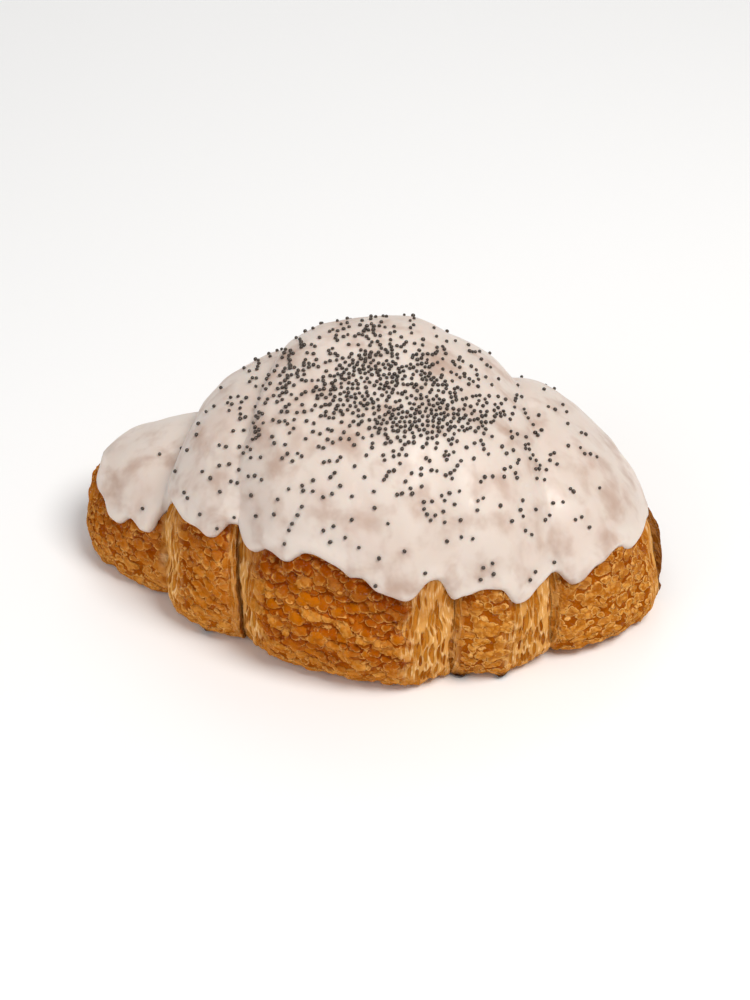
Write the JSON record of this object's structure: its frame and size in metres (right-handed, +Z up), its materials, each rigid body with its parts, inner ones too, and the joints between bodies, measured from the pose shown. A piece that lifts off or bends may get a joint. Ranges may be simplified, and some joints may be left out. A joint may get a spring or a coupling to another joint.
{
  "type": "poppy seed roll",
  "caption": "Crescent roll of laminated dough in overlapping wraps, with a poured icing coat over its crown and poppy seeds sprinkled on the icing.",
  "frame": {"origin": "on the flat underside, below the middle wrap of dough", "axes": "+X along the roll towards its thicker horn, +Z up, and the horns bend back towards +Y"},
  "size_m": [0.1509, 0.0994, 0.0686],
  "materials": {
    "crust": "flaky golden-brown baked crust with a light butter gloss",
    "icing": "set sugar icing, off-white, softly glossy",
    "poppy_seed": "blue-black seed, satin"
  },
  "bodies": {
    "root": {"roll_pastry": "crust", "icing": "icing", "poppy_seed_01": "poppy_seed", "poppy_seed_02": "poppy_seed", "poppy_seed_03": "poppy_seed", "poppy_seed_04": "poppy_seed", "poppy_seed_05": "poppy_seed", "poppy_seed_06": "poppy_seed", "poppy_seed_07": "poppy_seed", "poppy_seed_08": "poppy_seed", "poppy_seed_09": "poppy_seed", "poppy_seed_10": "poppy_seed", "poppy_seed_11": "poppy_seed", "poppy_seed_12": "poppy_seed", "poppy_seed_13": "poppy_seed", "poppy_seed_14": "poppy_seed", "poppy_seed_15": "poppy_seed", "poppy_seed_16": "poppy_seed", "poppy_seed_17": "poppy_seed", "poppy_seed_18": "poppy_seed", "poppy_seed_19": "poppy_seed", "poppy_seed_20": "poppy_seed", "poppy_seed_21": "poppy_seed", "poppy_seed_22": "poppy_seed", "poppy_seed_23": "poppy_seed", "poppy_seed_24": "poppy_seed", "poppy_seed_25": "poppy_seed", "poppy_seed_26": "poppy_seed", "poppy_seed_27": "poppy_seed", "poppy_seed_28": "poppy_seed", "poppy_seed_29": "poppy_seed", "poppy_seed_30": "poppy_seed", "poppy_seed_31": "poppy_seed", "poppy_seed_32": "poppy_seed", "poppy_seed_33": "poppy_seed", "poppy_seed_34": "poppy_seed", "poppy_seed_35": "poppy_seed", "poppy_seed_36": "poppy_seed", "poppy_seed_37": "poppy_seed", "poppy_seed_38": "poppy_seed", "poppy_seed_39": "poppy_seed", "poppy_seed_40": "poppy_seed", "poppy_seed_41": "poppy_seed", "poppy_seed_42": "poppy_seed", "poppy_seed_43": "poppy_seed", "poppy_seed_44": "poppy_seed", "poppy_seed_45": "poppy_seed", "poppy_seed_46": "poppy_seed", "poppy_seed_47": "poppy_seed", "poppy_seed_48": "poppy_seed"}
  },
  "joints": []
}
